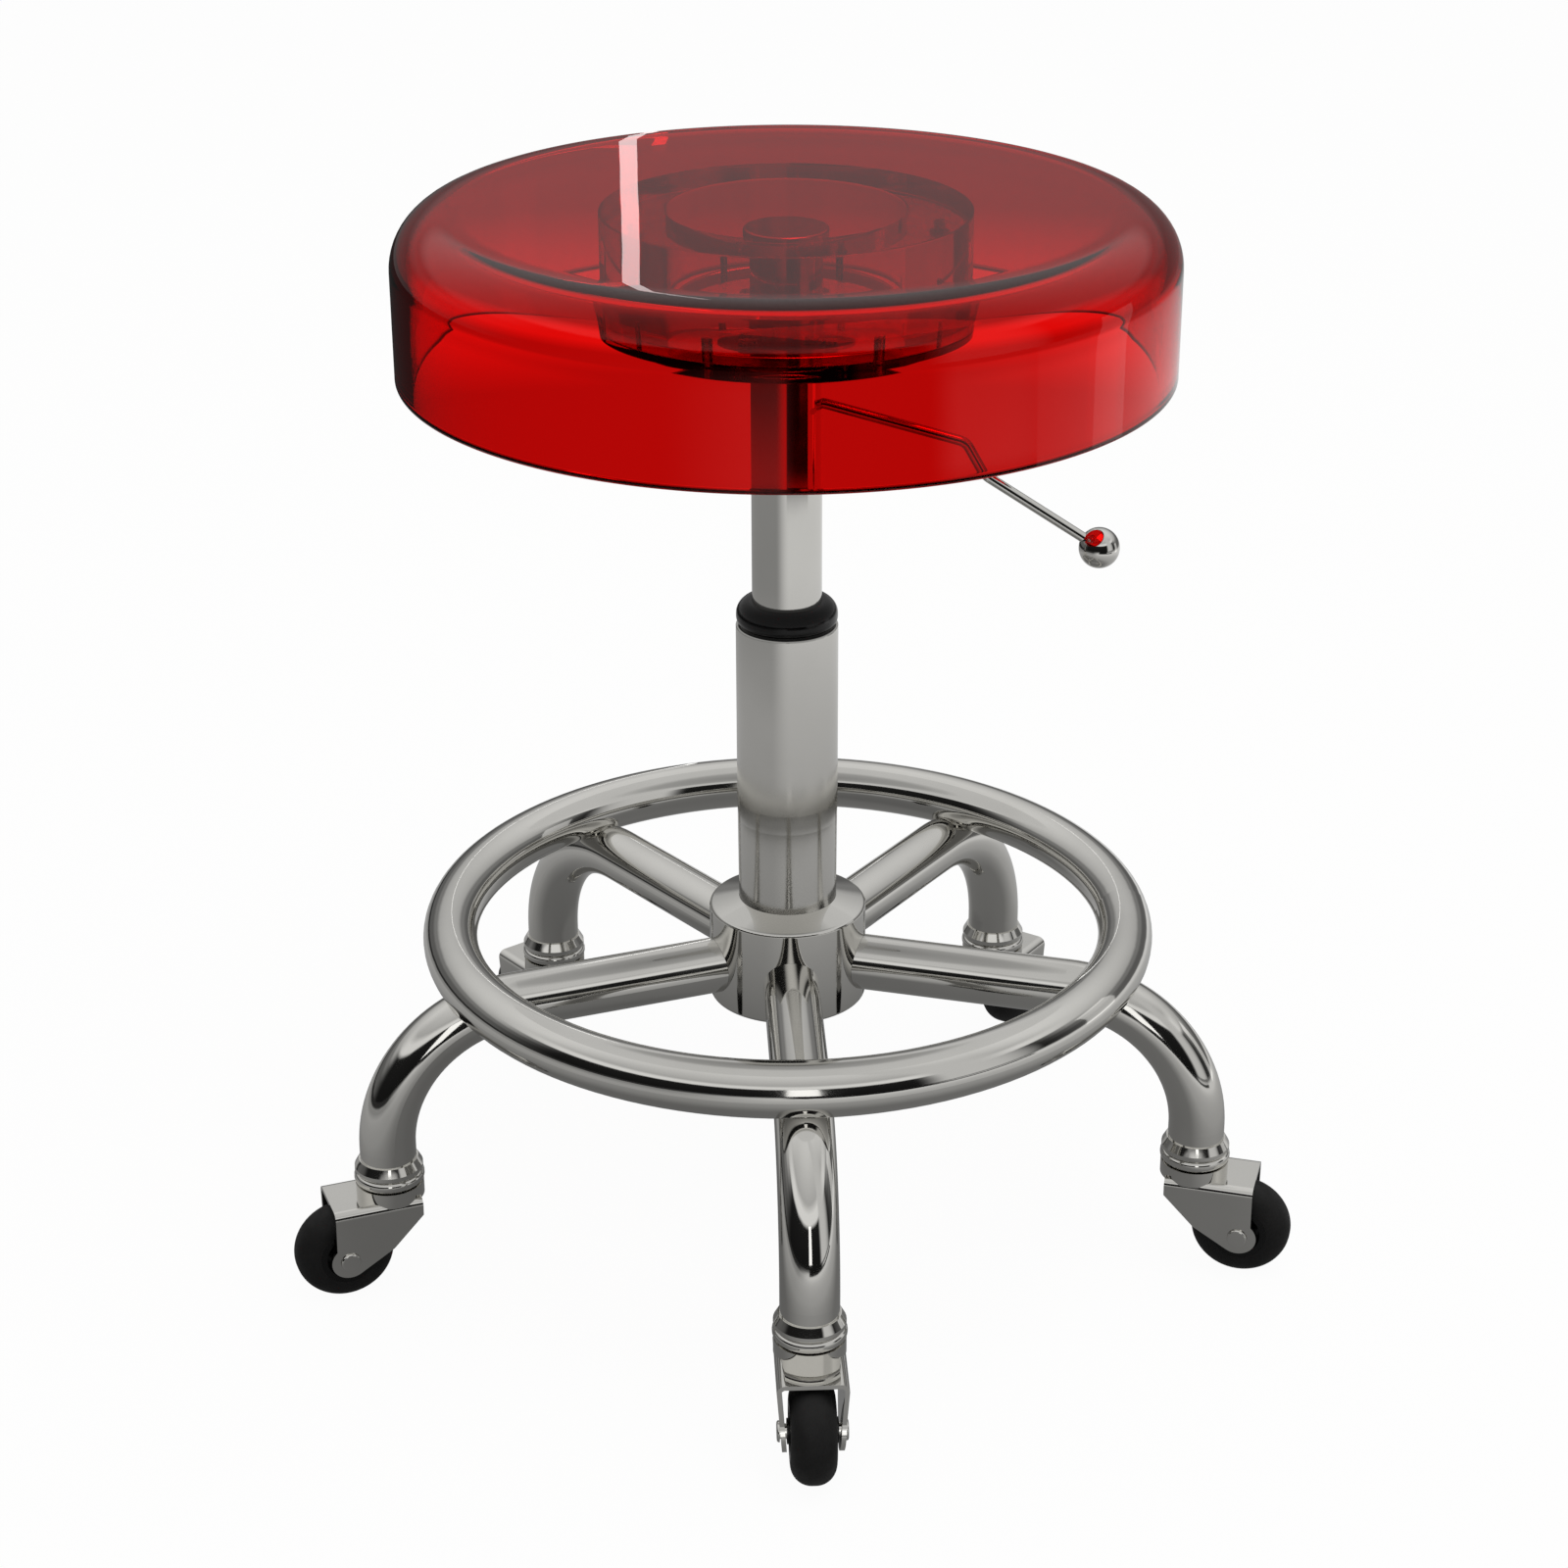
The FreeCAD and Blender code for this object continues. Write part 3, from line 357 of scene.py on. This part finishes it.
# Greys of the room, by the sine of the angle above level: in front of the stool and behind it
FRONT_TONES = ((0.0, 0.01), (0.42, 0.015), (0.47, 0.95), (0.57, 0.95), (0.66, 0.55), (0.85, 0.70),
               (1.0, 0.85))
BACK_TONES = ((0.0, 0.14), (0.12, 0.14), (0.20, 0.25), (0.27, 0.25), (0.34, 0.52), (0.55, 0.72),
              (0.75, 0.88), (1.0, 0.85))
ROOM_SOFT = 0.3                # half the blend from one to the other, as a sine too

# Greys that the floor glows in to mirrors, by the share of its radius: to the left and to the right in front
# They are a painted reflection, darker near the stool as a painted shadow of the stool.
PAINTED_LEFT_FLOOR = ((0.0, 0.14), (0.06, 0.17), (0.10, 0.36), (0.17, 0.44), (0.23, 0.30), (0.30, 0.32),
              (0.37, 0.03))
PAINTED_RIGHT_FLOOR = ((0.0, 0.17), (0.06, 0.20), (0.10, 0.44), (0.17, 0.58), (0.24, 0.78), (0.38, 0.80),
               (0.60, 0.20))
SIDE_SLOPE = -0.34             # place to the side where they meet, as a share of the distance ahead
SIDE_SOFT = 0.45               # half the blend from one to the other

# Greys through the seat: of the floor's painted light, by the share of its radius, and of the room
# The floor's: a grey near the stool, a painted bright ring of light, and a darker grey beyond.
PAINTED_GLASS_FLOOR = ((0.0, 0.60), (0.36, 0.60), (0.405, 1.0), (0.46, 1.0), (0.52, 0.48), (1.0, 0.42))
GLASS_SKY = 0.42

# Painted dark patch of floor in front as mirrors see it, with its sides as shares of the distance ahead
GAP_START = 1.16               # distance that it starts at
GAP_LEFT = -0.05
GAP_RIGHT = 2.6
GAP_SOFT = 0.05                # half the blend at its start and at each side
PAINTED_GAP_TONE = 0.01

# Pale part of the room in front to the right, with its sides as shares of the distance ahead
WINDOW_LEFT = 0.85
WINDOW_RIGHT = 3.0
WINDOW_SOFT = 0.15             # half the blend at its left side
WINDOW_FADE = 1.6              # half the blend at its right side
WINDOW_TONE = 0.70
WINDOW_REACH = 1.50            # distance past which it takes the dark patch of floor away

# Card under the seat, below its lowest place, glowing in greys by the share of its radius
# Its glow is a painted reflection in the base's chrome, in place of the seat's, darker at its middle.
CARD_HEIGHT = 0.345
CARD_RADIUS = 0.21
PAINTED_CARD_TONES = ((0.0, 0.30), (0.45, 0.45), (0.60, 0.70), (1.0, 0.72))

BASE_NAMES = ("foot_ring", "leg_", "caster_")     # nodes that the front panel lights, by how they start


def grey(tone):
    """Colour of one tone."""
    return (tone, tone, tone, 1)


def feed(tree, socket, value):
    """Socket set from another socket or from a plain value."""
    if hasattr(value, "links"):
        tree.links.new(value, socket)
    else:
        socket.default_value = value


def maths(tree, operation, first, second=0.0):
    """Maths on two values or sockets."""
    node = tree.nodes.new("ShaderNodeMath")
    node.operation = operation
    feed(tree, node.inputs[0], first)
    feed(tree, node.inputs[1], second)
    return node.outputs["Value"]


def tone_ramp(tree, value, tones):
    """Greys by a value, from pairs of place and grey."""
    ramp = tree.nodes.new("ShaderNodeValToRGB")
    steps = ramp.color_ramp.elements
    steps.remove(steps[-1])
    for number, (at, tone) in enumerate(tones):
        step = steps[0] if number == 0 else steps.new(at)
        step.position = at
        step.color = grey(tone)
    tree.links.new(value, ramp.inputs["Fac"])
    return ramp.outputs["Color"]


def blended(tree, share, first, second):
    """Colour between two colours or sockets by a share."""
    mix = tree.nodes.new("ShaderNodeMix")
    mix.data_type = "RGBA"
    tree.links.new(share, mix.inputs["Factor"])
    feed(tree, mix.inputs["A"], first)
    feed(tree, mix.inputs["B"], second)
    return mix.outputs["Result"]


def eased(tree, value, low, high):
    """Value that runs smoothly from 0 at low to 1 at high."""
    node = add(tree, "ShaderNodeMapRange", From_Min=low, From_Max=high)
    node.interpolation_type = "SMOOTHSTEP"
    tree.links.new(value, node.inputs["Value"])
    return node.outputs["Result"]


def shared_surface(tree, share, first, second):
    """Material's output between two surfaces by a share."""
    mix = tree.nodes.new("ShaderNodeMixShader")
    for socket, source in zip(mix.inputs, (share, first, second)):
        tree.links.new(source, socket)
    tree.links.new(mix.outputs["Shader"], tree.nodes["Material Output"].inputs["Surface"])


def place_parts(tree, kind):
    """X, Y and Z of a kind of texture coordinate."""
    place = tree.nodes.new("ShaderNodeTexCoord")
    parts = tree.nodes.new("ShaderNodeSeparateXYZ")
    tree.links.new(place.outputs[kind], parts.inputs["Vector"])
    return parts.outputs


def axis_distance(tree, parts):
    """Distance from the Z axis, the root of X squared plus Y squared."""
    squares = [maths(tree, "MULTIPLY", parts[side], parts[side]) for side in ("X", "Y")]
    return maths(tree, "SQRT", maths(tree, "ADD", *squares))


def front_slope(tree, parts):
    """Place to the side as a share of the distance ahead, which is towards -Y."""
    ahead = maths(tree, "MAXIMUM", maths(tree, "MULTIPLY", parts["Y"], -1), LEAST_AHEAD)
    return maths(tree, "DIVIDE", parts["X"], ahead)


def window(tree, slope):
    """1 towards the pale part of the room, else 0."""
    from_left = eased(tree, slope, WINDOW_LEFT - WINDOW_SOFT, WINDOW_LEFT + WINDOW_SOFT)
    to_right = eased(tree, slope, WINDOW_RIGHT + WINDOW_FADE, WINDOW_RIGHT - WINDOW_FADE)
    return maths(tree, "MULTIPLY", from_left, to_right)


def painted_dark_patch(tree, slope, reach):
    """1 on the painted dark patch of floor, past a distance, inside a wedge and off the window, else 0."""
    past = eased(tree, reach, GAP_START - GAP_SOFT, GAP_START + GAP_SOFT)
    from_left = eased(tree, slope, GAP_LEFT - GAP_SOFT, GAP_LEFT + GAP_SOFT)
    to_right = eased(tree, slope, GAP_RIGHT + GAP_SOFT, GAP_RIGHT - GAP_SOFT)
    wedge = maths(tree, "MULTIPLY", from_left, to_right)
    far = eased(tree, reach, WINDOW_REACH - GAP_SOFT, WINDOW_REACH + GAP_SOFT)
    off_window = maths(tree, "SUBTRACT", 1, maths(tree, "MULTIPLY", far, window(tree, slope)))
    return maths(tree, "MULTIPLY", past, maths(tree, "MULTIPLY", wedge, off_window))


def surround():
    """World: white to the camera, one grey through the seat, and to all else a room in greys."""
    world = bpy.data.worlds.new("surround")
    bpy.context.scene.world = world
    world.use_nodes = True
    tree = world.node_tree
    light = tree.nodes.new("ShaderNodeLightPath").outputs
    parts = place_parts(tree, "Generated")
    front = tone_ramp(tree, parts["Z"], FRONT_TONES)
    front = blended(tree, window(tree, front_slope(tree, parts)), front, grey(WINDOW_TONE))
    back = tone_ramp(tree, parts["Z"], BACK_TONES)
    room = blended(tree, eased(tree, parts["Y"], -ROOM_SOFT, ROOM_SOFT), front, back)
    unmirrored = maths(tree, "LESS_THAN", light["Glossy Depth"], HALF_BOUNCE)
    through = maths(tree, "MULTIPLY", light["Is Transmission Ray"], unmirrored)
    indirect = blended(tree, through, room, grey(GLASS_SKY))
    seen = blended(tree, light["Is Camera Ray"], indirect, grey(1))
    tree.links.new(seen, tree.nodes["Background"].inputs["Color"])


def floor_finish():
    """Pale floor: white to the camera but for the shadow, and in painted greys to mirrors and through the
    seat.
    """
    material, tree, surface = new_finish("pale_floor")
    surface.inputs["Base Color"].default_value = (0.80, 0.79, 0.77, 1)
    surface.inputs["Roughness"].default_value = 0.9
    light = tree.nodes.new("ShaderNodeLightPath").outputs
    parts = place_parts(tree, "Object")
    reach = axis_distance(tree, parts)
    share = maths(tree, "DIVIDE", reach, FLOOR_RADIUS)
    slope = front_slope(tree, parts)
    side = eased(tree, slope, SIDE_SLOPE - SIDE_SOFT, SIDE_SLOPE + SIDE_SOFT)
    # Painted reflection for mirrors: darker near the stool as a painted shadow, and a painted dark patch in
    # front
    mirrored = blended(tree, side, tone_ramp(tree, share, PAINTED_LEFT_FLOOR), tone_ramp(tree, share, PAINTED_RIGHT_FLOOR))
    mirrored = blended(tree, painted_dark_patch(tree, slope, reach), mirrored, grey(PAINTED_GAP_TONE))
    reflected = maths(tree, "GREATER_THAN", light["Glossy Depth"], HALF_BOUNCE)
    # Through the seat the floor shows painted light, with a painted bright ring
    indirect = blended(tree, reflected, tone_ramp(tree, share, PAINTED_GLASS_FLOOR), mirrored)
    glow = add(tree, "ShaderNodeEmission", Strength=1.0)
    tree.links.new(blended(tree, light["Is Camera Ray"], indirect, grey(1)), glow.inputs["Color"])
    direct = maths(tree, "MULTIPLY", light["Is Camera Ray"], FLOOR_GLOW)
    passed_on = maths(tree, "MAXIMUM", light["Is Glossy Ray"], light["Is Transmission Ray"])
    own_light = maths(tree, "MAXIMUM", direct, passed_on)
    shared_surface(tree, own_light, surface.outputs["BSDF"], glow.outputs["Emission"])
    return material


def disc(name, radius, height):
    """Level disc on the stage, facing up. The point of its rim at angle a is (R cos a, R sin a, height)."""
    angle = np.linspace(0, 2 * math.pi, DISC_POINTS, endpoint=False)
    rim = np.stack([radius * np.cos(angle), radius * np.sin(angle), height + 0 * angle], -1)
    mesh = bpy.data.meshes.new(name)
    mesh.from_pydata(rim.tolist(), [], [list(range(len(rim)))])
    obj = bpy.data.objects.new(name, mesh)
    bpy.context.scene.collection.objects.link(obj)
    return obj


def mirror_card():
    """Pale glowing card that only mirrors below it see, a painted reflection so that the base doesn't mirror
    the seat.
    """
    material, tree, surface = new_finish("card_glow")
    tree.nodes.remove(surface)
    share = maths(tree, "DIVIDE", axis_distance(tree, place_parts(tree, "Object")), CARD_RADIUS)
    glow = add(tree, "ShaderNodeEmission", Strength=1.0)
    tree.links.new(tone_ramp(tree, share, PAINTED_CARD_TONES), glow.inputs["Color"])
    clear = tree.nodes.new("ShaderNodeBsdfTransparent")
    side = tree.nodes.new("ShaderNodeNewGeometry")
    shared_surface(tree, side.outputs["Backfacing"], clear.outputs["BSDF"], glow.outputs["Emission"])
    obj = disc("mirror_card", CARD_RADIUS, CARD_HEIGHT)
    obj.data.materials.append(material)
    obj.visible_camera = obj.visible_diffuse = obj.visible_transmission = obj.visible_shadow = False


def softbox(name, place, target, width, height, power, mirrored):
    """Area lamp that faces a target, in metres and watts. It shows in mirrors only if mirrored is true."""
    data = bpy.data.lights.new(name, "AREA")
    data.shape = "RECTANGLE"
    data.size = width
    data.size_y = height
    data.energy = power
    obj = bpy.data.objects.new(name, data)
    obj.visible_glossy = mirrored
    facing = (Vector(target) - Vector(place)).to_track_quat("-Z", "Y")
    obj.matrix_world = Matrix.Translation(place) @ facing.to_matrix().to_4x4()
    bpy.context.scene.collection.objects.link(obj)
    return obj


def front_panel():
    """Panel in front that only the ring, the legs and the casters see, so that no other piece mirrors it."""
    lamp = softbox("front", place=(0.10, -3.3, 0.95), target=(0, 0, 0.95), width=0.6, height=1.5, power=4.2,
                   mirrored=True)
    base = bpy.data.collections.new("base_mirrors")
    for name in nodes:
        if name.startswith(BASE_NAMES):
            base.objects.link(nodes[name])
    lamp.light_linking.receiver_collection = base


def studio():
    """Soft light from above, a tall strip behind to the left, and panels to the right and in front."""
    surround()
    disc("floor", FLOOR_RADIUS, 0.0).data.materials.append(floor_finish())
    mirror_card()
    softbox("overhead", place=(0.5, -0.5, 2.6), target=(0, 0, 0.2), width=1.6, height=1.6, power=25,
            mirrored=False)
    softbox("strip", place=(-0.088, 3.9, 1.6), target=(-0.088, 0, 1.6), width=0.03, height=3.0, power=0.5,
            mirrored=True)
    softbox("panel", place=(1.2, 0.13, 0.3), target=(0, 0, 0.3), width=0.30, height=0.6, power=0.27,
            mirrored=True)
    front_panel()


def main():
    """Finishes, seat, studio and camera."""
    finishes = {SEAT_SLOT: red_acrylic(), "chrome": chrome_plate(), "steel": bare_steel(),
                "black_plastic": moulded_black(), "black_rubber": dull_rubber()}
    dress_nodes(finishes, satin_plate())
    for seat_part in (seat_drum, hung_ring, seat_plate):
        seat_part(finishes[SEAT_SLOT])
    studio()
    camera()
    bpy.context.scene.view_settings.view_transform = "Standard"


main()
